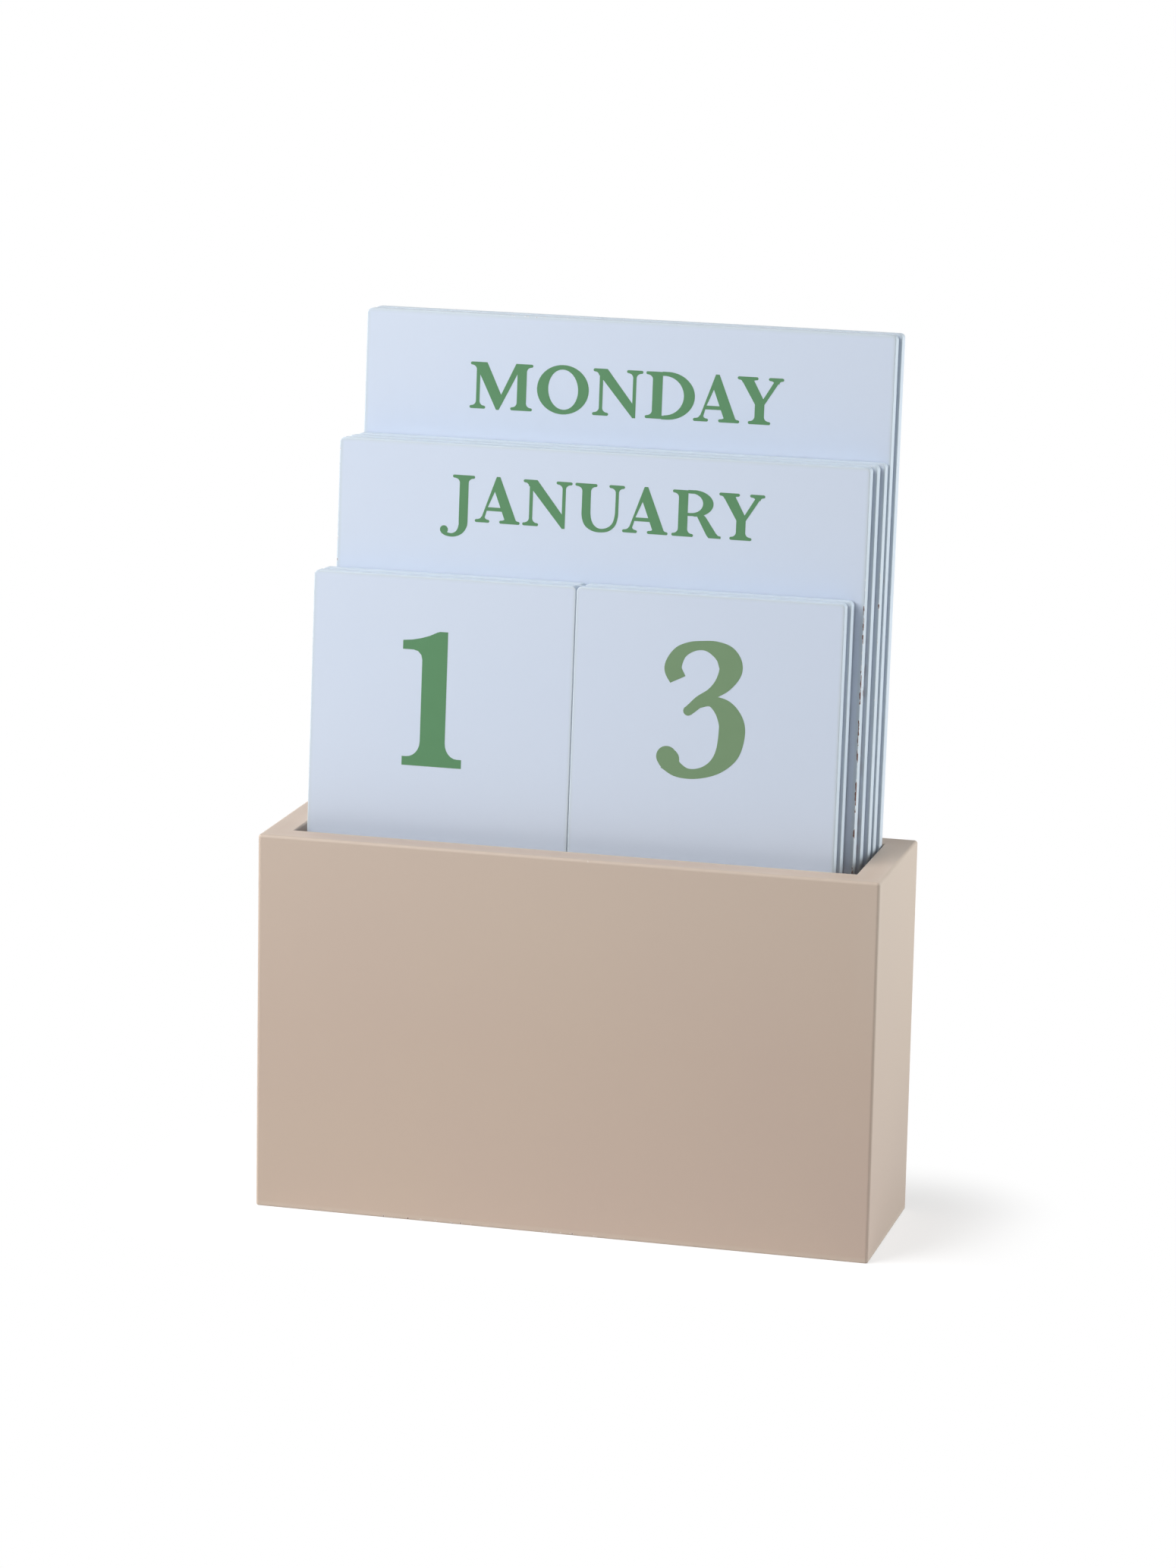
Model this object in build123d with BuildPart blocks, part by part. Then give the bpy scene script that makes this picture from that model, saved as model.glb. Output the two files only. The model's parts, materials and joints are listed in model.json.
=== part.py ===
"""Perpetual desk calendar: an open box of painted panels holding nine lift-out boards.

Origin: middle of the box's underside. +Z is up, +X is to the right of a reader who
looks at the front, and +Y runs to the back. All lengths are in millimetres.

Weekday boards stand at the back, month boards in front of them and two columns of
number boards at the front. The whole stack leans back until its rearmost board meets
the box's rear rim, and each board stands a little further right than the one before
it, so that the right-hand edges show as a fan.
"""
from build123d import *
from math import cos, radians, sin, tan
import os

os.makedirs("parts", exist_ok=True)

# --- driving sizes of the boards ---------------------------------------------------
board_width = 102.6        # a month or weekday board; two number boards side by side
board_thickness = 2.8
number_height = 116.7      # along the board, which leans
month_height = 141.2
weekday_height = 164.7
board_corner = 1.2         # rounding of a board's four corners
board_edge = 0.35          # softening of a board's painted edges
lean = radians(3.8)        # of the whole stack, towards the back

# --- driving sizes of the box ------------------------------------------------------
box_height = 73.3
wall = 5.6                 # painted board of one thickness all round
base_thickness = 5.6
outer_edge = 1.0           # rounding of the rim and the upright corners, outside
inner_edge = 0.5           # rounding of the rim, inside
underside_edge = 0.4       # rounding where the box meets the table

# --- clearances --------------------------------------------------------------------
board_gap = 0.2            # between one layer of boards and the next
column_gap = 0.2           # between the two columns of number boards
rest_clearance = 0.2       # before the first layer and behind the last one
floor_clearance = 0.1      # under the boards
right_clearance = 0.2      # beside the rearmost board, which stands furthest right
left_room = 0.9            # beside the foremost boards, which stand furthest left

# How much further right each layer stands than the one before it, front to back.
fan_steps = [0.65, 1.85, 0.75, 0.85, 0.4, 0.6]

# --- sizes that follow from those --------------------------------------------------
layers = len(fan_steps) + 1
stack_depth = layers * board_thickness + (layers - 1) * board_gap
layer_pitch = (board_thickness + board_gap) / cos(lean)
inner_height = box_height - base_thickness
inner_depth = stack_depth / cos(lean) + inner_height * tan(lean) + 2 * rest_clearance
inner_width = left_room + board_width + sum(fan_steps) + right_clearance
box_depth = inner_depth + 2 * wall
box_width = inner_width + 2 * wall
number_width = (board_width - column_gap) / 2

# Lowest rear edge of the rearmost board, from the rear rim that it leans on.
floor_z = base_thickness + floor_clearance
last_rear_y = inner_depth / 2 - rest_clearance - (box_height - floor_z) * tan(lean)
first_left_x = left_room - inner_width / 2


def board_plane(layer, left_x, width):
    """Rear face of a board: origin at the middle of its lowest rear edge, Z to the front."""
    rear_y = last_rear_y - (layers - 1 - layer) * layer_pitch
    return Plane(
        origin=(left_x + width / 2, rear_y, floor_z),
        x_dir=(1, 0, 0),
        z_dir=(0, -cos(lean), sin(lean)),
    )


def layer_left_x(layer):
    """Left-hand edge of a layer, counted from the front."""
    return first_left_x + sum(fan_steps[:layer])


def board(name, layer, left_x, width, height):
    """One printed board, standing in its layer with softened corners and edges."""
    with BuildPart() as piece:
        with BuildSketch(board_plane(layer, left_x, width)):
            with Locations((0, height / 2)):
                RectangleRounded(width, height, board_corner)
        extrude(amount=board_thickness)
        front_normal = board_plane(layer, left_x, width).z_dir
        faces = piece.faces().filter_by(Axis((0, 0, 0), front_normal))
        fillet(faces.edges(), board_edge)
    piece.part.label = name
    export_step(piece.part, f"parts/{name}.step")


# --- box: five glued panels, shaped as one tray and parted at their butt joints -----
with BuildPart() as tray:
    Box(box_width, box_depth, box_height, align=(Align.CENTER, Align.CENTER, Align.MIN))
    fillet(tray.edges().filter_by(Axis.Z), outer_edge)
    fillet(tray.faces().sort_by(Axis.Z)[-1].edges(), outer_edge)
    fillet(tray.faces().sort_by(Axis.Z)[0].edges(), underside_edge)
    with BuildSketch(Plane.XY.offset(base_thickness)):
        Rectangle(inner_width, inner_depth)
    extrude(amount=inner_height, mode=Mode.SUBTRACT)
    rim = tray.faces().filter_by(Axis.Z).sort_by(Axis.Z)[-1]
    fillet(rim.inner_wires()[0].edges(), inner_edge)

# The front and back panels run the full width; the sides and the base fit between them.
with BuildPart() as front_panel:
    add(tray.part)
    split(bisect_by=Plane.XZ.offset(inner_depth / 2), keep=Keep.TOP)
front_panel.part.label = "front_panel"
export_step(front_panel.part, "parts/front_panel.step")

with BuildPart() as back_panel:
    add(tray.part)
    split(bisect_by=Plane.XZ.offset(-inner_depth / 2), keep=Keep.BOTTOM)
back_panel.part.label = "back_panel"
export_step(back_panel.part, "parts/back_panel.step")

with BuildPart() as middle:
    add(tray.part)
    split(bisect_by=Plane.XZ.offset(inner_depth / 2), keep=Keep.BOTTOM)
    split(bisect_by=Plane.XZ.offset(-inner_depth / 2), keep=Keep.TOP)

with BuildPart() as left_panel:
    add(middle.part)
    split(bisect_by=Plane.YZ.offset(-inner_width / 2), keep=Keep.BOTTOM)
left_panel.part.label = "left_panel"
export_step(left_panel.part, "parts/left_panel.step")

with BuildPart() as right_panel:
    add(middle.part)
    split(bisect_by=Plane.YZ.offset(inner_width / 2), keep=Keep.TOP)
right_panel.part.label = "right_panel"
export_step(right_panel.part, "parts/right_panel.step")

with BuildPart() as base_panel:
    add(middle.part)
    split(bisect_by=Plane.YZ.offset(-inner_width / 2), keep=Keep.TOP)
    split(bisect_by=Plane.YZ.offset(inner_width / 2), keep=Keep.BOTTOM)
base_panel.part.label = "base_panel"
export_step(base_panel.part, "parts/base_panel.step")

# --- boards, layer by layer from the front -----------------------------------------
for layer, place in enumerate(["front", "rear"]):
    left_x = layer_left_x(layer)
    right_x = left_x + number_width + column_gap
    board(f"number_board_left_{place}", layer, left_x, number_width, number_height)
    board(f"number_board_right_{place}", layer, right_x, number_width, number_height)

for layer, place in enumerate(["front", "middle", "rear"], start=2):
    board(f"month_board_{place}", layer, layer_left_x(layer), board_width, month_height)

for layer, place in enumerate(["front", "rear"], start=5):
    board(f"weekday_board_{place}", layer, layer_left_x(layer), board_width, weekday_height)

print(f"box {box_width:.2f} x {box_depth:.2f} x {box_height:.2f} mm, {layers} layers")
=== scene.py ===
# %% [markdown]
# # A perpetual desk calendar
#
# The real thing is a small open box of painted fibreboard with nine thin painted boards
# standing in it. The day, the month and the date are printed on them in green. Each board
# carries up to four prints, two on a face, so it is turned over or stood on its head to
# change the date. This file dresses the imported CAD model: it keeps the model's places and
# sizes, and adds the soft painted edges, the lacquer, the wear and the printing.

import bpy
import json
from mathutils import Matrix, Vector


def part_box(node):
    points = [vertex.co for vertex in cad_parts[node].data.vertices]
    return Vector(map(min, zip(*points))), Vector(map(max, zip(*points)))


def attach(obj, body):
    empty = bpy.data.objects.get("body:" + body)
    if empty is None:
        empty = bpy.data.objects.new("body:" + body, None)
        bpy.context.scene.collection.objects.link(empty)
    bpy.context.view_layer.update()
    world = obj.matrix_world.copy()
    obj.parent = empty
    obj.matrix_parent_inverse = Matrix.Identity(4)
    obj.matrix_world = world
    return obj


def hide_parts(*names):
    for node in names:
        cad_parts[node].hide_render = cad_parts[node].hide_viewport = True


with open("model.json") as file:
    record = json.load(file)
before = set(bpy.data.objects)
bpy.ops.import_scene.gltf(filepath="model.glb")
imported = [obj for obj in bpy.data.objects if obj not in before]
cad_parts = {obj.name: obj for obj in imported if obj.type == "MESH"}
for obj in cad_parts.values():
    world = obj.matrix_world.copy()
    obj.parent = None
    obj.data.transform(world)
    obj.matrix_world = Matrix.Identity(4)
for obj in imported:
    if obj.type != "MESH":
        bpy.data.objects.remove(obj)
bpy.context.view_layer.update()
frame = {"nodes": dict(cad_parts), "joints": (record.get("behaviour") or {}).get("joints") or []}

# %% [markdown]
# ## Units, colours and nodes
#
# Blender works in metres and in linear light. Sizes below are written in millimetres and
# colours as the hex values a paint chip would have, so both are turned once, here. A
# material is a graph of nodes; one helper adds a node, sets it and wires it in.

# %% Helpers for units, colours and nodes
import json

import bpy
import numpy as np
from mathutils import Matrix, Vector
from mathutils.geometry import delaunay_2d_cdt

MM = 0.001


def linear(hex_colour):
    """Linear RGBA of an sRGB hex colour: below 0.04045 a straight line, above it a power
    of 2.4."""
    srgb = np.array([int(hex_colour[i:i + 2], 16) for i in (1, 3, 5)]) / 255
    channels = np.where(srgb <= 0.04045, srgb / 12.92, ((srgb + 0.055) / 1.055) ** 2.4)
    return (*channels, 1.0)


def add(tree, kind, settings=None, **links):
    """Adds a node. Settings name its properties, or its inputs by name or number; links
    name the inputs that another node feeds, with underscores for spaces, or _0 for
    input 0."""
    node = tree.nodes.new("ShaderNode" + kind)
    for name, value in (settings or {}).items():
        if isinstance(name, str) and hasattr(node, name):
            setattr(node, name, value)
        else:
            node.inputs[name].default_value = value
    for name, output in links.items():
        socket = int(name[1:]) if name[1:].isdigit() else name.replace("_", " ")
        tree.links.new(output, node.inputs[socket])
    return node


def new_material(name):
    """An empty node material with its output node."""
    material = bpy.data.materials.new(name)
    material.use_nodes = True
    material.node_tree.nodes.clear()
    return material, add(material.node_tree, "OutputMaterial")


def blend(tree, share, first, second):
    """The colour first where share is 0 and second where it is 1. Each is a hex colour or
    another node's output."""
    settings, links = {"data_type": "RGBA"}, {}
    for slot, colour in (("A", first), ("B", second)):
        if isinstance(colour, str):
            settings[slot] = linear(colour)
        else:
            links[slot] = colour
    return add(tree, "Mix", settings, Factor=share, **links).outputs["Result"]


print("middle grey in linear light:", round(linear("#808080")[0], 3))

# %% [markdown]
# ## One surface for the box and the boards
#
# Sprayed fibreboard has no sharp edge: sanding and two coats of lacquer round every arris
# to a few tenths of a millimetre, and that small round is what catches the light. Both
# the box and a board are one profile carried round a rounded rectangle, so one function
# draws them. It could be done with a cube and a Bevel, but then there would be no say in
# where the rows of points go, and the wear further down needs them near the edges.

# %% A profile carried round a rounded rectangle
HAIR = 0.04 * MM      # smallest corner radius, and width of the rows that keep a flat flat


def outline(half_sizes, per_corner=9, per_side=40):
    """Samples of a rounded rectangle, anticlockwise. For each it gives the corner or side it
    belongs to, as a point of a square from -1 to 1, and the way out of the shape. A side
    starts and ends with a sample a hair from its corner, so that its shading stays flat."""
    signs = np.array([[1, -1], [1, 1], [-1, 1], [-1, -1]], float)
    core, out = [], []
    for k in range(4):
        turn = np.radians(np.linspace(90 * k - 90, 90 * k, per_corner))
        core.append(np.repeat(signs[k:k + 1], per_corner, axis=0))
        out.append(np.c_[np.cos(turn), np.sin(turn)])
        hair = HAIR / (2 * half_sizes[1 - k % 2])
        along = np.r_[hair, np.linspace(0.01, 0.99, per_side), 1 - hair][:, None]
        core.append(signs[k] + (signs[(k + 1) % 4] - signs[k]) * along)
        out.append(np.repeat(out[-1][-1:], per_side + 2, axis=0))
    return np.vstack(core), np.vstack(out)


def carried_profile(profile, half_sizes, corner):
    """Points (rows, samples, 3) of a profile of (inset, height, ...) rows carried round a
    rounded rectangle: at each row the corner radius is the outer one less the inset, the
    core rectangle is the half sizes less inset and radius, and a point is its place on the
    core plus the radius times the way out."""
    inset, height = np.array(profile, float).T[:2]
    core, out = outline(half_sizes)
    radius = np.maximum(corner - inset, HAIR)
    half = np.array(half_sizes) - (inset + radius)[:, None]
    flat = core * half[:, None] + out * radius[:, None, None]
    rise = np.broadcast_to(height[:, None, None], (*flat.shape[:2], 1))
    return np.concatenate([flat, rise], axis=2)


def quarter(inset, height, radius, start, end, steps=7):
    """Rows of a quarter round about (inset, height), from start to end degrees: 0 points
    into the shape, 90 up and 180 out of it. The third number marks it as an arris."""
    turn = np.radians(np.linspace(start, end, steps))
    sideways, upwards = radius * np.cos(turn), radius * np.sin(turn)
    return list(zip(inset + sideways, height + upwards, np.ones(steps)))


def mesh_of_rows(name, points):
    """Closed mesh of rows of points: a quad between neighbours, and the first and the last
    row each capped by one flat face."""
    rows, samples = points.shape[:2]
    index = np.arange(rows * samples).reshape(rows, samples)
    after = np.roll(index, -1, axis=1)
    quads = np.stack([index[:-1], after[:-1], after[1:], index[1:]], axis=2).reshape(-1, 4)
    mesh = bpy.data.meshes.new(name)
    caps = [index[0, ::-1].tolist(), index[-1].tolist()]
    mesh.from_pydata(points.reshape(-1, 3).tolist(), [], quads.tolist() + caps)
    mesh.shade_smooth()
    return mesh


def show(name, mesh, material):
    """Links a mesh to the scene as a piece with one material."""
    piece = bpy.data.objects.new(name, mesh)
    mesh.materials.append(material)
    bpy.context.scene.collection.objects.link(piece)
    return piece


print("samples round a board:", len(outline((0.05, 0.06))[0]))

# %% [markdown]
# ## Knocks on the edges
#
# Boards that are pulled out and dropped back every day lose paint where they strike: on
# the arrises, and most where a thumb or the rim meets them. So each point gets a number
# for how hard it was knocked. It is nothing away from an arris, a little on every arris,
# and more round a few chosen places. The material reads it as an attribute, which stays
# with the mesh when the board moves. A painted texture could do it too, but would need a
# picture file, and this script reads none.

# %% Wear as an attribute
def write_wear(mesh, profile, points, everywhere, knocks):
    """Attribute wear: the profile's third number, times what every arris has plus, for each
    knock (x, y, z in mm, reach in mm, strength), strength * exp(-(distance / reach)^2)."""
    wear = np.full(points.shape[:2], everywhere, float)
    for *place, reach, strength in knocks:
        apart = np.linalg.norm(points / MM - place, axis=2)
        wear += strength * np.exp(-(apart / reach) ** 2)
    wear *= np.array([row[2] for row in profile])[:, None]
    layer = mesh.attributes.new("wear", "FLOAT", "POINT")
    layer.data.foreach_set("value", np.clip(wear, 0, 1).astype(np.float32).ravel())
    return wear.max()


print("share of a knock left at its reach:", round(float(np.exp(-1)), 2))

# %% [markdown]
# ## Lacquer on fibreboard
#
# Both colours are a satin catalysed lacquer, sprayed over sealed medium-density
# fibreboard. Spraying leaves a faint orange peel about a millimetre across and a tone that
# drifts a little over a few centimetres. On an arris and on the thirsty cut edges the coat
# is thin, which dulls the blue and pales the taupe a little. A knock breaks it to the pale
# primer, and a harder one to the brown board, in dashes that run up the edge. Each stage
# is one Mix node over the last, driven by wear plus a noise, so the chips get ragged
# outlines of their own.

# %% Satin lacquer
cloud_size = 45 * MM      # over which the tone drifts
thin_wear = 0.25          # wear at which the coat is as thin as it gets, short of a knock
thin_share = 0.8          # how far it is then to the thin coat's colour
nick_size = 0.9 * MM      # across a chip
dash_scale = 0.35         # of the chips' noise up an edge, where they run about 3 times as far
wear_weight = 0.43        # of the wear in its sum with the noise
primer_from = 0.90        # sum from which primer shows
board_from = 0.95         # and from which the bare board does
ragged = 0.02             # over which each of them sets in
peel_size = 1.1 * MM      # of the orange peel
peel_height = 0.02 * MM
chip_depth = 0.1 * MM


def satin_lacquer(name, colour, drift, thin_coat, primer, board, roughness=0.5):
    """Colour drifts to drift, and goes thin_share of the way to thin_coat on a worn arris.
    Where wear_weight * wear + noise passes primer_from the primer shows, and past
    board_from the board."""
    material, output = new_material(name)
    tree = material.node_tree
    place = add(tree, "TexCoord").outputs["Object"]
    wear = add(tree, "Attribute", {"attribute_name": "wear"}).outputs["Fac"]
    cloud = add(tree, "TexNoise", {"Scale": 1 / cloud_size, "Detail": 2.0}, Vector=place)
    tone = blend(tree, cloud.outputs["Fac"], colour, drift)
    thin = add(tree, "MapRange", {"From Max": thin_wear, "To Max": thin_share}, Value=wear)
    paint = blend(tree, thin.outputs[0], tone, thin_coat)
    dashes = add(tree, "Mapping", {"Scale": (1.0, 1.0, dash_scale)}, Vector=place)
    nick = add(tree, "TexNoise", {"Scale": 1 / nick_size, "Detail": 3.0, "Roughness": 0.6},
               Vector=dashes.outputs[0])
    knock = add(tree, "Math", {"operation": "MULTIPLY_ADD", 1: wear_weight},
                _0=wear, _2=nick.outputs["Fac"])
    to_primer = add(tree, "MapRange", {"From Min": primer_from,
                                       "From Max": primer_from + ragged},
                    Value=knock.outputs[0])
    to_board = add(tree, "MapRange", {"From Min": board_from, "From Max": board_from + ragged},
                   Value=knock.outputs[0])
    primed = blend(tree, to_primer.outputs[0], paint, primer)
    bared = blend(tree, to_board.outputs[0], primed, board)
    peel = add(tree, "TexNoise", {"Scale": 1 / peel_size, "Detail": 3.0}, Vector=place)
    relief = add(tree, "Bump", {"Strength": 0.25, "Distance": peel_height},
                 Height=peel.outputs["Fac"])
    chipped = add(tree, "Bump", {"invert": True, "Strength": 0.6, "Distance": chip_depth},
                  Height=to_board.outputs[0], Normal=relief.outputs[0])
    shader = add(tree, "BsdfPrincipled", {"Roughness": roughness, "IOR": 1.5},
                 Base_Color=bared, Normal=chipped.outputs[0])
    tree.links.new(shader.outputs[0], output.inputs["Surface"])
    return material


taupe_lacquer = satin_lacquer("satin_lacquer_taupe", colour="#C8B5A3", drift="#C4AFA2",
                              thin_coat="#C9B8A9", primer="#D8CDC4", board="#7C5B49")
blue_lacquer = satin_lacquer("satin_lacquer_blue", colour="#D3DDEC", drift="#CFDAEC",
                             thin_coat="#CBD6DF", primer="#E3E6EA", board="#6F4A42")
print("lacquers:", taupe_lacquer.name, blue_lacquer.name)

# %% [markdown]
# ## The box
#
# Five fibreboard panels, glued with butt joints, filled and sprayed as one, so no seam is
# left to see. The joints stay in the CAD; here one unbroken skin runs from the underside,
# up the outside, over the rim and down to the floor inside. Panels with bevelled edges
# would leave five hairlines that the real box doesn't show.

# %% The box as one skin
low, high = np.array(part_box("front_panel")[0]), np.array(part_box("back_panel")[1])
box_half = (high[:2] - low[:2]) / 2
box_top = high[2]
wall = -low[0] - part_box("base_panel")[1].x
base_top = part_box("base_panel")[1].z

rim_outside = 0.6 * MM      # rounding outside, as sharp as the photograph shows it
rim_inside = 0.4 * MM
foot_edge = 0.4 * MM
foot_wear = 1.2 * MM        # height above the ground at which the wear of the foot ends
underside_row = 4 * MM      # inset of the first row, which keeps the underside flat

# Rows of (inset, height, share of the wear they take), from the underside to the floor
# of the inside.
box_profile = (
    [(underside_row, 0, 0), (foot_edge + HAIR, 0, 1)]
    + quarter(foot_edge, foot_edge, foot_edge, 270, 180)
    + [(0, foot_edge + HAIR, 1), (0, foot_wear, 0), (0, box_top / 2, 0),
       (0, box_top - rim_outside - HAIR, 0.5)]
    + quarter(rim_outside, box_top - rim_outside, rim_outside, 180, 90)
    + [(rim_outside + HAIR, box_top, 0.5), (wall / 2, box_top, 0),
       (wall - rim_inside - HAIR, box_top, 0.5)]
    + quarter(wall - rim_inside, box_top - rim_inside, rim_inside, 90, 0)
    + [(wall, box_top - rim_inside - HAIR, 0.5), (wall, box_top / 2, 0),
       (wall, base_top + HAIR, 0), (wall + HAIR, base_top, 0)]
)
box_points = carried_profile(box_profile, box_half, rim_outside)
box_mesh = mesh_of_rows("box_shell", box_points)
box_arris_wear = 0.4
# Knocks in mm from the middle of the underside: place, reach, strength.
box_knocks = [(-25, -18.5, 0, 14, 0.35), (5, -18.5, 0, 14, 0.35), (60, -18.5, 71, 2.5, 0.5)]
hardest = write_wear(box_mesh, box_profile, box_points, box_arris_wear, box_knocks)
print("hardest knock on the box:", round(hardest, 2))
box_shell = show("box_shell", box_mesh, taupe_lacquer)
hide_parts("front_panel", "back_panel", "left_panel", "right_panel",
            "base_panel")
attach(box_shell, "box")
print(f"wall {wall / MM:.2f} mm, box", np.round(2 * box_half / MM, 1), "mm")

# %% [markdown]
# ## The boards
#
# Nine boards of 2.8 mm fibreboard, sprayed blue on all sides: four for the date, three for
# the months, two for the days. They lean back a few degrees, so they are drawn in axes of
# their own, across, up the board and out of its face, and turned into place at the end. A
# cube turned by its object would be simpler, but then its place wouldn't be in its mesh.

# %% Boards in their own leaning axes
board_up = np.array(frame["joints"][0]["axis"], float)
board_up /= np.linalg.norm(board_up)
across = np.array([1.0, 0.0, 0.0])
board_front = np.cross(across, board_up)
leaning = np.stack([across, board_up, board_front])

boards = {}
for name, node in frame["nodes"].items():
    if "board" in name:
        flat = np.empty(3 * len(node.data.vertices))
        node.data.vertices.foreach_get("co", flat)
        measured = flat.reshape(-1, 3) @ leaning.T
        boards[name] = (measured.min(0), measured.max(0))
        print(name, "mm:", np.round((boards[name][1] - boards[name][0]) / MM, 2))

# %% Painted boards
ink_room = 0.03 * MM          # each face stands this far inside the CAD, for the print
board_corner = 0.9 * MM       # rounding of the four corners, seen from the front
board_arris = 0.2 * MM        # rounding of the arrises round both faces
board_arris_wear = 0.35
cut_edge_share = 0.6          # of that wear on the cut edge between two arrises
worn_margin = 0.9 * MM        # width of a face's margin over which the wear fades
halfway_share = 0.25          # of the wear left halfway over the margin
face_row = 3 * MM             # inset of the last row, which keeps a face flat
seam_shown = 0.04 * MM        # what shows between the left and the right number boards
top_trim = 0.01 * MM          # keeps the leaning top arris below the CAD's highest point

seam = boards["number_board_right_front"][0][0] - boards["number_board_left_front"][1][0]
seam_growth = (seam - seam_shown) / 2

# Knocks of each board in mm from its middle, across and up: place, reach, strength.
board_knocks = {
    "month_board_front": [(51, 38, 12, 0.6), (51, 18, 14, 0.6), (51, -4, 14, 0.6),
                          (-51, 54, 10, 0.5), (-51, 69, 2.5, 0.7)],
    "month_board_middle": [(51, 70, 2, 0.4)],
    "month_board_rear": [(51, 25, 4, 0.65), (51, 45, 12, 0.5)],
    "weekday_board_front": [(-20, 82, 12, 0.4), (-51, 60, 8, 0.3)],
    "weekday_board_rear": [(-45, 82, 6, 0.3)],
}


def board_piece(name):
    """One painted board: a slab profile carried round the board's outline, then turned
    into the leaning axes."""
    low, high = (corner.copy() for corner in boards[name])
    high[1] -= top_trim
    if name.startswith("number_board_left"):
        high[0] += seam_growth
    if name.startswith("number_board_right"):
        low[0] -= seam_growth
    middle, half = (low + high) / 2, (high - low) / 2
    face = half[2] - ink_room
    arris = quarter(board_arris, face - board_arris, board_arris, 180, 90)
    front = ([(0, face - board_arris - HAIR, cut_edge_share)] + arris
             + [(worn_margin / 2, face, halfway_share), (worn_margin, face, 0),
                (face_row, face, 0)])
    back = [(inset, -height, wear) for inset, height, wear in front][::-1]
    profile = back + [(0, 0, cut_edge_share)] + front
    points = carried_profile(profile, half[:2], board_corner)
    mesh = mesh_of_rows(name + "_painted", (points + middle) @ leaning)
    knocks = [(x, y, 0, reach, strength)
              for x, y, reach, strength in board_knocks.get(name, [])]
    write_wear(mesh, profile, points, board_arris_wear, knocks)
    piece = show(name + "_painted", mesh, blue_lacquer)
    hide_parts(name)
    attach(piece, name)
    return piece


painted = [board_piece(name) for name in boards]
print(len(painted), "boards of", len(painted[0].data.polygons), "faces")

# %% [markdown]
# ## Letters from pen strokes
#
# The words and figures are screen-printed: ink is pushed through a mesh and stands a few
# hundredths of a millimetre proud. A Text object with a font file would be quick, but this
# file brings no font. So the letterform is drawn here from scratch, in the manner of an
# old-style serif type, from a few marks measured in hundredths of the capital height: a
# straight-sided shape, a bar, a serif, a ring between two ellipses and a pen stroke of
# changing width. Marks overlap freely and are merged afterwards.

# %% Marks of the letterform
def shape(*points):
    """One straight-sided mark through the given corners."""
    return [np.array(points, float)]


def bar(x0, x1, y0, y1):
    """An upright rectangle: a stem or a crossbar."""
    return shape((x0, y0), (x1, y0), (x1, y1), (x0, y1))


def foot(x0, x1, stem0, stem1, y=0.0, rise=1, thick=6.5, bracket=10.0, square=False):
    """Serif: a slab with round or square ends, and quarter ellipses from it into the stem;
    rise -1 hangs it from y as a head serif."""
    round_off = thick / 2
    half_turn = np.linspace(-np.pi / 2, np.pi / 2, 7)
    quarter_turn = np.linspace(0, np.pi / 2, 7)
    if square:
        end = np.array([[0, -round_off], [0, round_off]])
    else:
        end = np.c_[round_off * np.cos(half_turn) - round_off, round_off * np.sin(half_turn)]
    right_reach = max(x1 - stem1 - round_off, 0.01)
    left_reach = max(stem0 - x0 - round_off, 0.01)
    climb = thick + bracket * (1 - np.cos(quarter_turn))
    right = np.c_[stem1 + right_reach * (1 - np.sin(quarter_turn)), climb]
    left = np.c_[stem0 - left_reach * (1 - np.sin(quarter_turn)), climb][::-1]
    left_end = end[::-1] * (-1, 1) + (x0, round_off)
    serif = np.vstack([end + (x1, round_off), right, left, left_end])
    return [serif * (1, rise) + (0, y)]


def pen(points, steps=10):
    """Pen stroke: a Catmull-Rom curve through (x, y, width), each stretch being
    (2b + (c - a)t + (2a - 5b + 4c - d)t^2 + (3b - 3c + d - a)t^3) / 2 between b and c,
    widened at right angles to its run."""
    knots = np.array(points, float)
    extended = np.vstack([2 * knots[0] - knots[1], knots, 2 * knots[-1] - knots[-2]])
    t = np.linspace(0, 1, steps, endpoint=False)[:, None]
    a, b, c, d = (extended[k:len(knots) - 1 + k, None] for k in range(4))
    line = 0.5 * (2 * b + (c - a) * t + (2 * a - 5 * b + 4 * c - d) * t ** 2
                  + (3 * b - 3 * c + d - a) * t ** 3)
    line = np.vstack([line.reshape(-1, 3), knots[-1:]])
    run = np.gradient(line[:, :2], axis=0)
    run /= np.linalg.norm(run, axis=1)[:, None]
    side = np.c_[-run[:, 1], run[:, 0]] * line[:, 2:3] / 2
    left, right = line[:, :2] + side, line[:, :2] - side
    return list(np.stack([left[:-1], left[1:], right[1:], right[:-1]], axis=1))


def disc(x, y, r):
    """A round blob of ink, as at the end of a hook."""
    turn = np.linspace(0, 2 * np.pi, 28, endpoint=False)
    return [np.c_[x + r * np.cos(turn), y + r * np.sin(turn)]]


def ring(outer, inner, start=0.0, end=360.0, tilt=0.0, steps=48):
    """The band between two ellipses (x, y, half width, half height), from start to end
    degrees; tilt turns the inner one, which slants the stress of an O."""
    turn = np.radians(np.linspace(start, end, steps + 1))
    rim = np.c_[outer[0] + outer[2] * np.cos(turn), outer[1] + outer[3] * np.sin(turn)]
    hole = np.c_[inner[2] * np.cos(turn), inner[3] * np.sin(turn)]
    cos, sin = np.cos(np.radians(tilt)), np.sin(np.radians(tilt))
    hole = hole @ np.array([[cos, sin], [-sin, cos]]) + inner[:2]
    return list(np.stack([rim[:-1], rim[1:], hole[1:], hole[:-1]], axis=1))


def turned(marks, width):
    """The same marks upside down, which makes a 9 of a 6."""
    return [np.array([width, 100]) - mark for mark in marks]


print("corners of a serif:", len(foot(0, 35, 14, 35)[0]))

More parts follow.
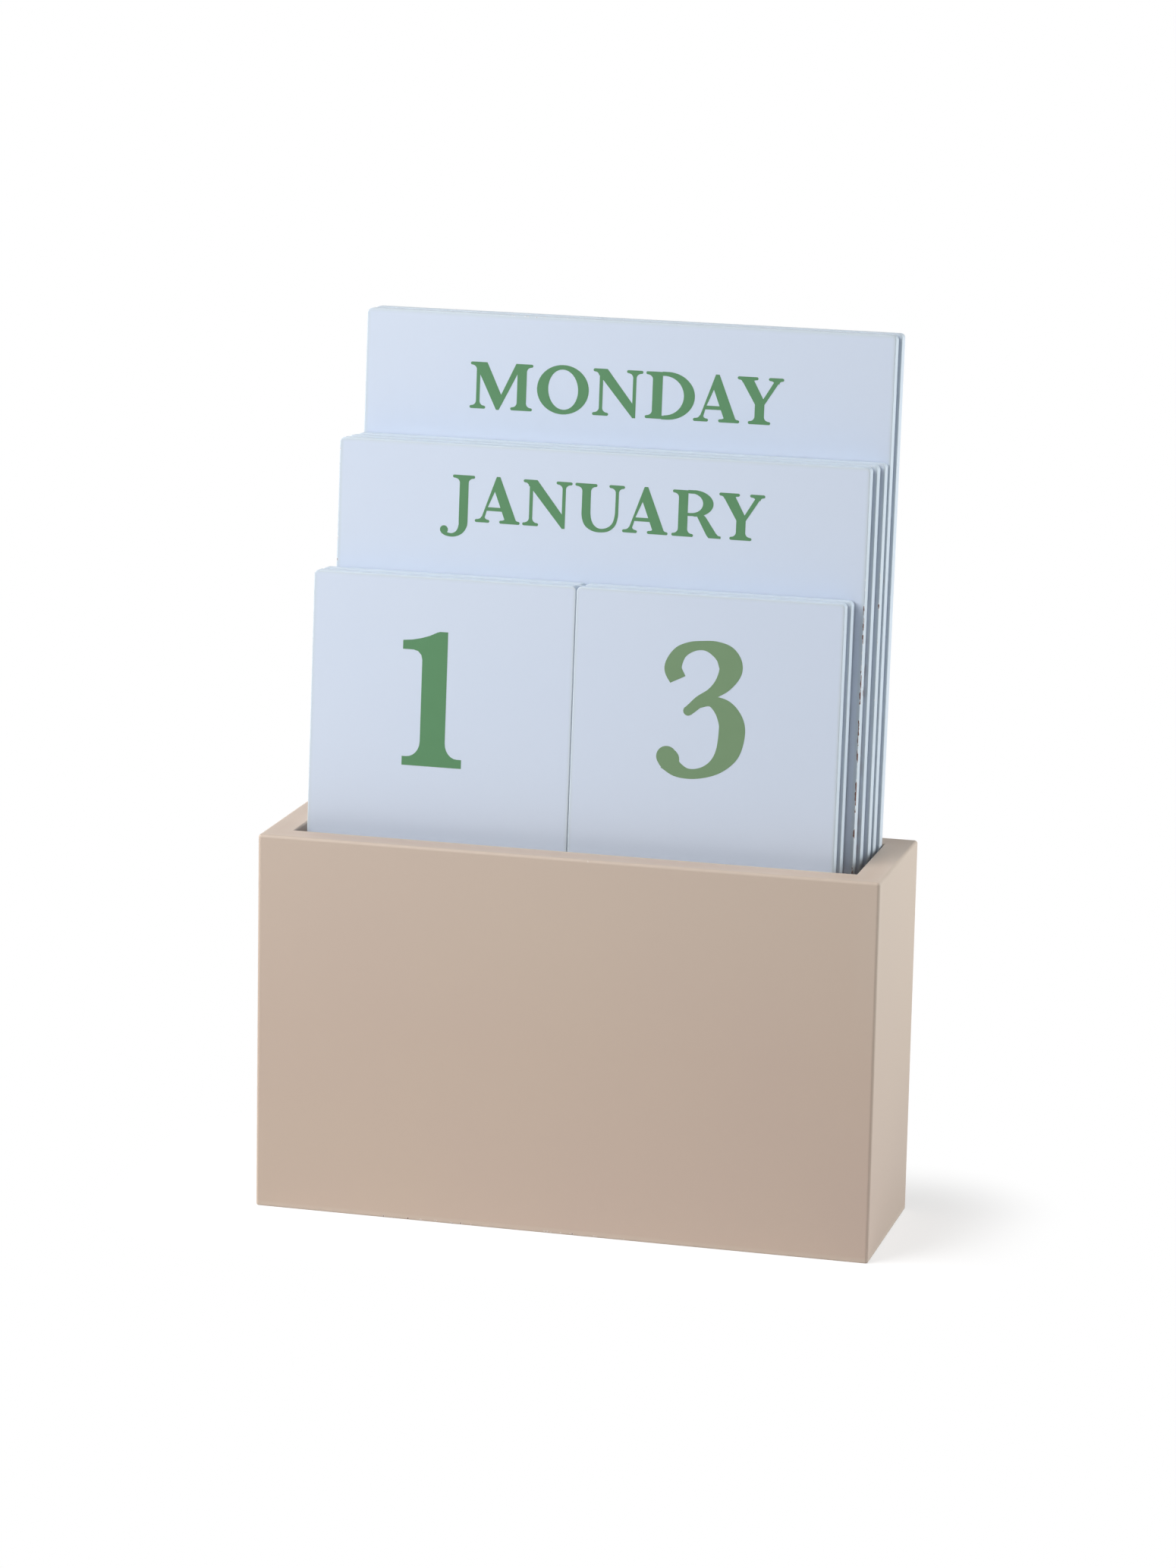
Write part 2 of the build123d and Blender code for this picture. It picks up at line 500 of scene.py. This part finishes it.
# %% Capitals and figures, as width and marks
# Each entry is the width the character takes and the marks that make it. The base line is
# at 0 and the tops of the capitals at 100.
BOWL_TOP = shape((82, 98), (86, 98), (87, 67), (83.5, 67), (79, 79), (71, 89), (74, 93))
LETTERS = {
    "A": (101, shape((46.5, 101), (54.5, 101), (94, 4), (68.5, 4), (43.4, 68.5), (28.6, 34),
           (20, 4), (12.5, 4)) + bar(24, 66, 26, 34) + foot(0, 33, 14, 22, bracket=6)
           + foot(55, 101, 69, 90.5, bracket=6)),
    "B": (95, bar(14, 35, 0, 100) + bar(34, 50, 93, 100) + bar(34, 52, 49, 56.5)
           + bar(34, 52, 0, 7.5) + ring((50, 75.2, 34, 24.8), (44, 75, 19, 18), -90, 90)
           + ring((50, 28.2, 43, 28.2), (46, 28.2, 24, 20.7), -90, 90) + foot(0, 35, 14, 35)
           + foot(0, 35, 14, 35, 100, -1)),
    "C": (94, ring((52, 50, 52, 52.5), (57, 50, 34, 44.5), 45, 314, tilt=4) + BOWL_TOP
           + shape((87.2, 11.5), (79.4, 17.6), (90, 27), (94, 24.5))),
    "D": (107, bar(15, 36.7, 0, 100) + bar(36, 49, 92, 100.8) + bar(36, 48, -0.8, 7)
           + ring((48, 50, 60, 50.8), (41, 50, 43, 42), -90, 90) + foot(0, 36.7, 15, 36.7)
           + foot(0, 36.7, 15, 36.7, 100, -1)),
    "E": (90, bar(14, 35, 0, 100) + bar(34, 80, 92.5, 100) + bar(34, 62, 47, 54.5)
           + bar(34, 84, 0, 7.5) + shape((62, 93), (70, 89), (76, 82), (79, 72), (82.5, 72),
           (81, 100), (76, 100)) + shape((50, 53), (58, 57), (61, 66), (64.5, 66),
           (64.5, 35), (61, 35), (58, 44), (50, 48)) + shape((62, 7), (74, 10), (82, 18),
           (86, 29), (89.5, 29), (85, 0), (80, 0)) + foot(0, 35, 14, 35)
           + foot(0, 35, 14, 35, 100, -1)),
    "F": (84, bar(14, 35, 0, 100) + bar(34, 78, 92.5, 100) + bar(34, 60, 46, 53.5)
           + shape((60, 93), (68, 89), (74, 82), (77, 72), (80.5, 72), (79, 100), (74, 100))
           + shape((48, 52), (56, 56), (59, 65), (62.5, 65), (62.5, 34), (59, 34), (56, 43),
           (48, 47)) + foot(0, 50, 14, 35) + foot(0, 35, 14, 35, 100, -1)),
    "G": (108, ring((52, 50, 52, 52.5), (57, 50, 34, 44.5), 45, 312, tilt=4) + BOWL_TOP
           + shape((74, 46), (95, 46), (95, 9), (88, 4), (76, 0.5), (68, 0), (68, 8),
           (74, 14)) + foot(61, 108, 74, 95, 50, -1)),
    "H": (113, bar(14, 35, 0, 100) + bar(78, 99, 0, 100) + bar(34, 79, 47, 54.5)
           + foot(0, 49, 14, 35) + foot(64, 113, 78, 99) + foot(0, 49, 14, 35, 100, -1)
           + foot(64, 113, 78, 99, 100, -1)),
    "I": (49, bar(14, 35, 0, 100) + foot(0, 49, 14, 35) + foot(0, 49, 14, 35, 100, -1)),
    "J": (76, bar(42, 62, -2, 100) + foot(26, 76, 42, 62, 100, -1) + disc(9.5, -21, 9)
           + pen([(52, 0, 20), (51.5, -9, 19), (47, -20, 15.5), (38.5, -28.2, 10.5),
           (27, -31.8, 7.6), (14, -30, 8), (5.5, -24.5, 9)])),
    "L": (88, bar(14, 35, 0, 100) + bar(34, 82, 0, 7.5) + shape((60, 7), (72, 10.5), (80, 19),
           (84.5, 31), (88, 31), (84, 0), (78, 0)) + foot(0, 35, 14, 35)
           + foot(0, 50, 14, 35, 100, -1)),
    "M": (139, bar(13.8, 21.8, 0, 99) + shape((9, 100), (37, 100), (69.4, 32), (101, 100),
           (113, 100), (105, 79), (65, -1), (59, -1), (21, 75), (8, 96))
           + bar(104.4, 125, 0, 100) + foot(0, 35, 13.8, 21.8)
           + foot(0, 34, 13.8, 21.8, 100, -1) + foot(90.6, 138.8, 104.4, 125)
           + foot(101.5, 138.8, 104.4, 125, 100, -1)),
    "N": (109.5, bar(14.3, 21.8, 0, 90) + shape((3, 100), (31, 100), (88, 28.5), (94, 28.5),
           (95, -2), (88.5, -2), (21.8, 76.5), (13, 87)) + bar(87.5, 95, -2, 100)
           + foot(0, 35.5, 14.3, 21.8) + foot(0, 30, 12.5, 21.8, 100, -1, bracket=8)
           + foot(73.5, 109.5, 87.5, 95, 100, -1)),
    "O": (115, ring((57.3, 50.2, 57.3, 52.8), (57.8, 50.4, 33, 43), tilt=5)),
    "P": (92, bar(14, 35, 0, 100) + bar(34, 49, 93, 100) + bar(34, 49, 43, 50.5)
           + ring((48, 71.5, 43, 28.6), (43, 71.6, 26, 21.4), -90, 90) + foot(0, 50, 14, 35)
           + foot(0, 35, 14, 35, 100, -1)),
    "R": (109, bar(13.8, 34.4, 0, 100) + bar(34, 49, 93.5, 101) + bar(34, 52, 45, 51.5)
           + ring((48, 72.8, 42.5, 28.4), (42, 72.8, 25.5, 21.2), -90, 90) + shape((54, 47),
           (66, 52), (75, 44), (98, 11), (103, 6.2), (109, 5), (109, 0), (82, 0), (77, 6))
           + foot(0, 48, 13.8, 34.4) + foot(0, 34.4, 13.8, 34.4, 100, -1)),
    "S": (77, pen([(66, 76, 5), (60, 88, 8), (41, 97, 9), (23, 92, 14), (15, 77, 18),
           (24, 62, 21), (42, 50.5, 22), (60, 38, 21), (65.5, 22, 17), (56, 8, 12),
           (37, 2.5, 8.5), (19, 8.5, 8), (9, 26, 5)]) + shape((57, 92), (63, 99), (67, 99),
           (69, 69), (65.5, 69), (62, 80)) + shape((19, 8), (12, 1), (8, 1), (6, 33),
           (9.5, 33), (13, 21))),
    "T": (96, bar(37.5, 58.5, 0, 100) + bar(6, 90, 92.5, 100) + shape((4, 100), (24, 93),
           (13, 90), (7, 83), (4, 72), (0.5, 72)) + shape((92, 100), (72, 93), (83, 90),
           (89, 83), (92, 72), (95.5, 72)) + foot(22, 74, 37.5, 58.5)),
    "U": (110.7, pen([(25.8, 100, 19.5), (25.8, 52, 19.5), (26.4, 30, 20), (31.5, 14.5, 18.5),
           (43, 4, 12.5), (58, 0, 8), (75, 3.2, 8.3), (87.5, 14, 8), (93, 31, 7.5),
           (94, 52, 7), (94, 100, 7)]) + foot(0, 49.3, 16, 35.5, 100, -1)
           + foot(75.7, 110.7, 90.5, 97.5, 100, -1)),
    "V": (103, shape((7, 97), (35, 97), (58.5, 30), (83, 97), (91, 97), (55.5, -2), (48.5, -2))
           + foot(0, 46, 12.5, 33, 100, -1, bracket=6)
           + foot(67, 103, 80, 88, 100, -1, bracket=6)),
    "W": (153, shape((7, 97), (33, 97), (51, 30), (72, 85), (80, 85), (101, 30), (126, 97),
           (134, 97), (104, -2), (97, -2), (75, 62), (54, -2), (47, -2)) + shape((64, 97),
           (88, 97), (82, 80), (70, 80)) + foot(0, 44, 12, 31, 100, -1, bracket=6)
           + foot(52, 100, 66, 86, 100, -1, bracket=6)
           + foot(112, 148, 124, 132, 100, -1, bracket=6)),
    "Y": (101, shape((7, 96), (34, 96), (57.3, 54), (80, 92), (84, 96), (94, 96), (60.2, 42),
           (60.2, 8), (39.6, 8), (39.6, 42)) + foot(0, 45.3, 11, 32, 100, -1, bracket=6)
           + foot(67.7, 101, 80, 91, 100, -1, bracket=6) + foot(25.8, 74.5, 39.6, 60.2)),
}
SIX = ring((37, 32, 37, 33.5), (38, 31.5, 18.5, 27)) + pen([(7.6, 34, 15), (9.2, 48, 17),
    (15, 65, 16), (27, 82, 12), (42, 93, 8), (58, 99.5, 5)])
FIGURES = {
    "0": (78, ring((39, 50, 39, 51.5), (39, 50, 20.5, 44))),
    "1": (47, bar(14.8, 33.7, 5, 92) + shape((0, 85.2), (0, 91.7), (7, 92.4), (13.5, 93.8),
           (20, 95.9), (25.5, 98.6), (27.6, 99.3), (33.7, 99.3), (33.7, 78), (14.8, 78),
           (14, 81.5), (11.5, 84.2), (8, 85.2))
           + foot(1.5, 46.5, 14.8, 33.7, bracket=11.5, thick=6.5, square=True)),
    "2": (70, disc(13.5, 75, 8.5) + pen([(6.5, 77, 6), (12, 90, 9), (28, 97, 9), (46, 92, 15),
           (54, 76, 18.5), (48, 57, 15), (32, 37, 10), (16, 20, 8), (6, 9, 8)])
           + shape((3, 0), (65, 0), (70, 25), (66, 25), (63, 18), (56, 15.5), (20, 15.5),
           (10, 17), (3, 5))),
    "3": (65, pen([(14.0, 70.6, 12.4), (10.2, 79, 12.8), (14.4, 89.2, 10.2), (22.5, 94.6, 7.6),
           (32, 96.3, 6.8), (41, 94.6, 11), (49.2, 89.4, 16.2), (52.7, 80.7, 17.3),
           (48.2, 70.4, 13.2), (40, 62.3, 8.6), (31, 56, 8.2), (25.5, 51, 7.4),
           (22.4, 48.2, 7)]) + disc(22.4, 48.4, 3.5) + pen([(30, 53.4, 5), (39, 56.2, 7.6),
           (48.4, 51.4, 14.6), (54.2, 42.5, 18.4), (55.2, 33, 19.4), (52.6, 20.4, 17.4),
           (45.4, 10.4, 12), (35.6, 4.6, 8), (24.6, 2.8, 7.4), (15.4, 5.6, 11),
           (8.6, 11.4, 14.6)]) + disc(7.9, 14.2, 7.7) + disc(9.4, 12.4, 8)),
    "4": (76, bar(43, 62, 0, 92) + shape((43, 92), (55, 100), (62, 100), (62, 90), (52, 84),
           (12, 33), (12, 24), (1, 24), (1, 31)) + bar(1, 76, 24, 32.5)
           + foot(29, 76, 43, 62, square=True, bracket=9)),
    "5": (67, shape((15, 99), (20, 97), (55, 97), (61, 101), (64, 101), (60, 84), (18, 84))
           + shape((15, 99), (20, 97), (18, 52), (11, 52)) + pen([(13, 52, 5), (25, 59, 8),
           (39, 58.5, 13), (52, 46, 18), (53.5, 29, 19), (44, 11, 14.5), (31, 4.2, 8.4),
           (21, 3.2, 8), (14.5, 6, 11), (9, 11.2, 14)]) + disc(8.6, 14.2, 7.6)
           + disc(10, 12.2, 7.8)),
    "6": (75, SIX),
    "7": (69, shape((3, 100), (69, 100), (69, 94), (62, 86), (16, 85), (9, 82), (6, 73),
           (2, 73)) + pen([(65, 95, 5), (60, 87, 8), (48, 64, 13), (37, 34, 17.5),
           (32.5, 8, 19), (32, 0, 19)])),
    "8": (74, ring((37, 76, 30.5, 25.5), (37, 76.5, 15, 19)) + ring((37, 27.5, 37, 29),
           (37, 27, 18.5, 22.5))),
    "9": (75, turned(SIX, 75)),
}
print("drawn:", "".join(LETTERS), "".join(FIGURES))

# %% [markdown]
# ## One flat layer of ink
#
# Overlapping marks would give doubled faces that flicker. A constrained Delaunay
# triangulation takes all their outlines at once and says which marks lie over each
# triangle it finds, so whatever has at least one mark over it is ink. Boolean modifiers
# could merge them too, but are slow and fragile on shapes that share edges.

# %% Merge marks
def signed_area(mark):
    """Area of an outline, half the sum of the cross products of neighbours: negative if it
    runs clockwise."""
    x, y = mark.T
    return np.sum(x * np.roll(y, -1) - y * np.roll(x, -1)) / 2


def merged(marks):
    """Corners and triangles that cover the marks exactly once: all outlines, turned
    anticlockwise, go into one triangulation, and a triangle stays where at least one mark
    lies over it."""
    marks = [mark if signed_area(mark) > 0 else mark[::-1] for mark in marks]
    corners = [Vector(corner) for corner in np.vstack(marks).tolist()]
    starts = np.cumsum([0] + [len(mark) for mark in marks])
    faces = [list(range(a, b)) for a, b in zip(starts[:-1], starts[1:])]
    corners, _, triangles, _, _, sources = delaunay_2d_cdt(corners, [], faces, 1, 1e-4)
    inked = [triangle for triangle, source in zip(triangles, sources) if source]
    return np.array([tuple(corner) for corner in corners]), inked


glyphs = {key: (width, *merged(marks))
          for key, (width, marks) in {**LETTERS, **FIGURES}.items()}
print(len(glyphs), "letters and figures,", sum(len(glyph[2]) for glyph in glyphs.values()),
      "triangles")

# %% [markdown]
# ## Setting the words
#
# Letters stand a fixed gap apart, except the pairs that would look too open or too tight,
# as a compositor spaces them. Each face has room for two prints, one near its top and one
# upside down near its foot. With four prints a board, three boards hold the months and
# two the days, with one place to spare; on the date boards 0 to 3 come twice, which makes
# every date from 01 to 31 and leaves two places bare.

# %% A word as corners and triangles
usual_gap = 7.0       # in hundredths of the capital height, as the pairs below
pair_gaps = {"MO": 9.4, "ON": 8.4, "ND": 6.3, "DA": -1.4, "AY": -7.2, "JA": 2.2,
             "AN": 5.9, "NU": 6, "UA": -3.2, "AR": 8.2, "RY": -6.7, "UG": 9, "GU": 9,
             "OC": 9, "CT": 5, "TO": 5, "OB": 9, "OV": 0, "VE": -1, "AT": -6, "TU": 2,
             "SD": 7, "WE": 0, "DN": 7, "LY": -6, "UR": 6}


def set_word(word, cap):
    """Corners, in metres from the middle of the word's base line, and triangles: a letter
    starts where the last one ended plus the gap of the pair, and all is scaled to cap mm."""
    corners, triangles, end, first = [], [], 0.0, 0
    for before, letter in zip(" " + word, word):
        width, points, faces = glyphs[letter]
        start = end + (pair_gaps.get(before + letter, usual_gap) if corners else 0)
        corners.append(points + (start, 0))
        triangles += [[first + i for i in face] for face in faces]
        first += len(points)
        end = start + width
    return (np.vstack(corners) - (end / 2, 0)) * cap / 100 * MM, triangles


print("MONDAY is", round(np.ptp(set_word("MONDAY", 8.85)[0][:, 0]) / MM, 1), "mm wide")

# %% Prints of each board
# For each kind of board: cap height, base line below the top edge, offset of the middle
# across, and how far the line drops towards the right, in mm per mm. Then the four prints
# of each board: front top, front foot, back top, back foot.
word_places = {
    "weekday": (8.85, 18.0, -0.1, 0.0),
    "month": (8.7, 14.75, 0.24, 0.0064),
    "number_board_left": (26.0, 36.1, -1.55, 0.0),
    "number_board_right": (26.0, 34.5, -0.75, 0.0),
}
prints = {
    "weekday_board_front": ("MONDAY", "TUESDAY", "WEDNESDAY", "THURSDAY"),
    "weekday_board_rear": ("FRIDAY", "SATURDAY", "SUNDAY", ""),
    "month_board_front": ("JANUARY", "FEBRUARY", "MARCH", "APRIL"),
    "month_board_middle": ("MAY", "JUNE", "JULY", "AUGUST"),
    "month_board_rear": ("SEPTEMBER", "OCTOBER", "NOVEMBER", "DECEMBER"),
    "number_board_left_front": ("1", "0", "2", "3"),
    "number_board_left_rear": ("4", "5", "6", ""),
    "number_board_right_front": ("3", "0", "1", "2"),
    "number_board_right_rear": ("7", "8", "9", ""),
}
ink_top = 0.022 * MM      # of the ink above the painted face
ink_depth = 0.03 * MM     # of the layer, which sinks a little into the paint


def print_piece(name, ink):
    """All prints of one board as one thin layer: a word's corner at (u, v) from the middle
    of the board is carried to the face, upside-down prints by a half turn about that
    middle, and back ones with u counted the other way, as seen from behind."""
    low, high = boards[name]
    middle, half = (low + high) / 2, (high - low) / 2
    cap, below, offset, drop = next(place for kind, place in word_places.items()
                                    if name.startswith(kind))
    height = half[2] - ink_room + ink_top
    corners, triangles, first = [], [], 0
    for word, side, turn in zip(prints[name], (1, 1, -1, -1), (1, -1, 1, -1)):
        if not word:
            continue
        flat, faces = set_word(word, cap)
        flat = flat + (offset * MM, half[1] - below * MM)
        flat[:, 1] -= flat[:, 0] * drop
        flat *= turn
        out = np.full(len(flat), height * side)
        corners.append(np.c_[flat[:, 0] * side, flat[:, 1], out])
        triangles += [[first + i for i in face] for face in faces]
        first += len(flat)
    mesh = bpy.data.meshes.new(name + "_print")
    mesh.from_pydata(((np.vstack(corners) + middle) @ leaning).tolist(), [], triangles)
    piece = show(name + "_print", mesh, ink)
    body = piece.modifiers.new("ink_depth", "SOLIDIFY")
    body.thickness, body.offset = ink_depth, -1
    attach(piece, name)
    return piece


print(sum(bool(word) for words in prints.values() for word in words), "prints on",
      len(prints), "boards")

# %% [markdown]
# ## Screen-printing ink
#
# A solvent ink for wood: opaque, a little glossier than the lacquer under it, with a faint
# cloudiness where the squeegee laid it thicker. The right-hand date board was printed in
# another batch, which came out more olive.

# %% Green inks
lay_size = 5 * MM         # over which the ink lies thicker and thinner
mesh_size = 0.4 * MM      # of the screen's weave
mesh_relief = 0.01 * MM   # that it leaves in the ink


def screen_ink(name, colour, thick):
    """Opaque satin ink whose colour drifts to thick, with the screen's fine texture."""
    material, output = new_material(name)
    tree = material.node_tree
    place = add(tree, "TexCoord").outputs["Object"]
    lay = add(tree, "TexNoise", {"Scale": 1 / lay_size, "Detail": 4.0, "Roughness": 0.6},
              Vector=place)
    tone = blend(tree, lay.outputs["Fac"], colour, thick)
    weave = add(tree, "TexNoise", {"Scale": 1 / mesh_size, "Detail": 2.0}, Vector=place)
    relief = add(tree, "Bump", {"Strength": 0.3, "Distance": mesh_relief},
                 Height=weave.outputs["Fac"])
    shader = add(tree, "BsdfPrincipled", {"Roughness": 0.45, "IOR": 1.5},
                 Base_Color=tone, Normal=relief.outputs[0])
    tree.links.new(shader.outputs[0], output.inputs["Surface"])
    return material


green_ink = screen_ink("screen_ink_green", "#55885E", "#508257")
olive_ink = screen_ink("screen_ink_olive_green", "#73916D", "#6E8C67")
printed = [print_piece(name, olive_ink if name == "number_board_right_front" else green_ink)
           for name in boards]
print(sum(len(piece.data.polygons) for piece in printed), "triangles of ink")

# %% [markdown]
# ## Floor and backdrop
#
# The calendar stands on white paper that runs into a white background. To the lights and
# to the object the floor is plain matt paper, which bounces light up and takes the
# shadow. The camera sees that paper mixed with a glow, so that it is as white as the
# backdrop where it is lit and pale grey in the shadow, and only glow from 32 mm beside
# the box on. Turning up the lamps instead would burn out the pale boards.

# %% White floor and world
def seen_directly(tree):
    """1 for a ray of the camera, or one that reached here by a mirror or through glass;
    0 for light on its way to the object."""
    rays = add(tree, "LightPath").outputs
    looked_at = add(tree, "Math", {"operation": "MAXIMUM"},
                    _0=rays["Is Camera Ray"], _1=rays["Is Glossy Ray"])
    through = add(tree, "Math", {"operation": "MAXIMUM"},
                  _0=looked_at.outputs[0], _1=rays["Is Transmission Ray"])
    return through.outputs[0]


floor_half = 12.0
glow_near = 1.46                        # so that half glow and half lit paper make white
fade_start, fade_end = 4 * MM, 32 * MM  # beside the box

square = ((-1, -1), (1, -1), (1, 1), (-1, 1))
floor_mesh = bpy.data.meshes.new("floor")
floor_mesh.from_pydata([(x * floor_half, y * floor_half, 0) for x, y in square],
                       [], [(0, 1, 2, 3)])
white_paper, floor_output = new_material("matt_white_paper")
tree = white_paper.node_tree
paper = add(tree, "BsdfDiffuse", {"Color": linear("#F0F0F0")})
glow = add(tree, "Emission", {"Strength": glow_near})
near = add(tree, "MixShader", {"Fac": 0.5}, _1=glow.outputs[0], _2=paper.outputs[0])
white = add(tree, "Emission", {"Strength": 1.0})

# Distance beside the box: the length of max(|place| - half sizes, 0). The half height of
# 1 m lets the height of the floor, which is 0, add nothing.
place = add(tree, "VectorMath", {"operation": "ABSOLUTE"},
            _0=add(tree, "TexCoord").outputs["Object"])
past = add(tree, "VectorMath", {"operation": "SUBTRACT", 1: (*box_half, 1)},
           _0=place.outputs[0])
beside = add(tree, "VectorMath", {"operation": "MAXIMUM"}, _0=past.outputs[0])
apart = add(tree, "VectorMath", {"operation": "LENGTH"}, _0=beside.outputs[0])
far = add(tree, "MapRange", {"interpolation_type": "SMOOTHSTEP", "From Min": fade_start,
                             "From Max": fade_end}, Value=apart.outputs["Value"])
seen = add(tree, "MixShader", _0=far.outputs[0], _1=near.outputs[0], _2=white.outputs[0])
floor_mix = add(tree, "MixShader", _0=seen_directly(tree), _1=paper.outputs[0],
                _2=seen.outputs[0])
tree.links.new(floor_mix.outputs[0], floor_output.inputs["Surface"])
floor = show("floor", floor_mesh, white_paper)

world = bpy.data.worlds.new("studio")
world.use_nodes = True
tree = world.node_tree
tree.nodes.clear()
around = add(tree, "Background", {"Color": (1, 1, 1, 1), "Strength": 0.03})
backdrop = add(tree, "Background", {"Color": (1, 1, 1, 1), "Strength": 1.0})
either = add(tree, "MixShader", _0=seen_directly(tree), _1=around.outputs[0],
             _2=backdrop.outputs[0])
add(tree, "OutputWorld", Surface=either.outputs[0])
bpy.context.scene.world = world
print("floor", 2 * floor_half, "m wide, world", world.name)

# %% [markdown]
# ## Softboxes
#
# A large softbox high on the left lights the fronts, and a smaller one nearer lifts their
# left ends. One close on the right, a little behind, makes the right side and the edges of
# the boards pale and leaves the slits between them dark; it is a touch cooler. A weak one
# behind shows only in views from the back. A flag keeps the last two off the floor, so
# that the one shadow falls to the right, as it does in the photograph.

# %% Lights
def direction(azimuth, elevation):
    """Unit vector towards an azimuth, counted from the front to the right, and an
    elevation."""
    a, e = np.radians([azimuth, elevation])
    return Vector((np.sin(a) * np.cos(e), -np.cos(a) * np.cos(e), np.sin(e)))


look_at = Vector((0, 0, 80 * MM))


def softbox(name, azimuth, elevation, distance, size, level, tint="#FFFFFF"):
    """Square area light that faces the calendar. A white surface that faces it has the
    brightness level: the watts are level * (pi * distance)^2."""
    lamp = bpy.data.lights.new(name, "AREA")
    lamp.size = size
    lamp.energy = level * (np.pi * distance) ** 2
    lamp.color = linear(tint)[:3]
    light = bpy.data.objects.new(name, lamp)
    towards = direction(azimuth, elevation)
    light.location = look_at + towards * distance
    light.rotation_euler = towards.to_track_quat("Z", "Y").to_euler()
    bpy.context.scene.collection.objects.link(light)
    return light


key = softbox("softbox_left", azimuth=-50, elevation=40, distance=1.2, size=1.0, level=0.93)
near_left = softbox("softbox_near_left", azimuth=-50, elevation=30, distance=0.7, size=0.5,
                    level=0.36)
right = softbox("softbox_right", azimuth=105, elevation=12, distance=0.36, size=0.25,
                level=0.76, tint="#FAFFFF")
back = softbox("softbox_back", azimuth=228, elevation=12, distance=1.2, size=1.0, level=0.3)

flag = bpy.data.collections.new("flag")
flag.objects.link(floor)
flag.collection_objects[0].light_linking.link_state = "EXCLUDE"
for light in (right, back):
    light.light_linking.receiver_collection = flag
print("lamps, W:", [round(light.data.energy, 1) for light in (key, near_left, right, back)])

# %% [markdown]
# ## Camera
#
# A long lens from a metre away, so the sides hardly converge. Its place was solved from
# the box's corners in the photograph: azimuth, elevation and a slight roll, and the focal
# length in pixels of the whole 1550-pixel-wide picture.

# %% Camera at the photograph's viewpoint
photo_width = 1550
focal_pixels = 6910.1
camera_azimuth, camera_elevation, camera_roll = 14.13, 12.51, np.radians(1.18)
camera_target = Vector((0, 0, 60 * MM))
camera_shift = (-0.06 * MM, -23.06 * MM)
camera_distance = 998.7 * MM

backward = direction(camera_azimuth, camera_elevation)
level = direction(camera_azimuth + 90, 0)
upright = backward.cross(level)
rightward = level * np.cos(camera_roll) + upright * np.sin(camera_roll)
upward = backward.cross(rightward)

lens = bpy.data.cameras.new("camera")
lens.sensor_fit = "HORIZONTAL"
lens.sensor_width = 36
lens.lens = focal_pixels * lens.sensor_width / photo_width
camera = bpy.data.objects.new("camera", lens)
shifted = camera_target - rightward * camera_shift[0] - upward * camera_shift[1]
camera.location = shifted + backward * camera_distance
camera.rotation_mode = "QUATERNION"
camera.rotation_quaternion = Matrix((rightward, upward, backward)).transposed().to_quaternion()
bpy.context.scene.collection.objects.link(camera)
bpy.context.scene.camera = camera
bpy.context.scene.view_settings.view_transform = "Standard"
print("focal length, mm:", round(lens.lens, 1))
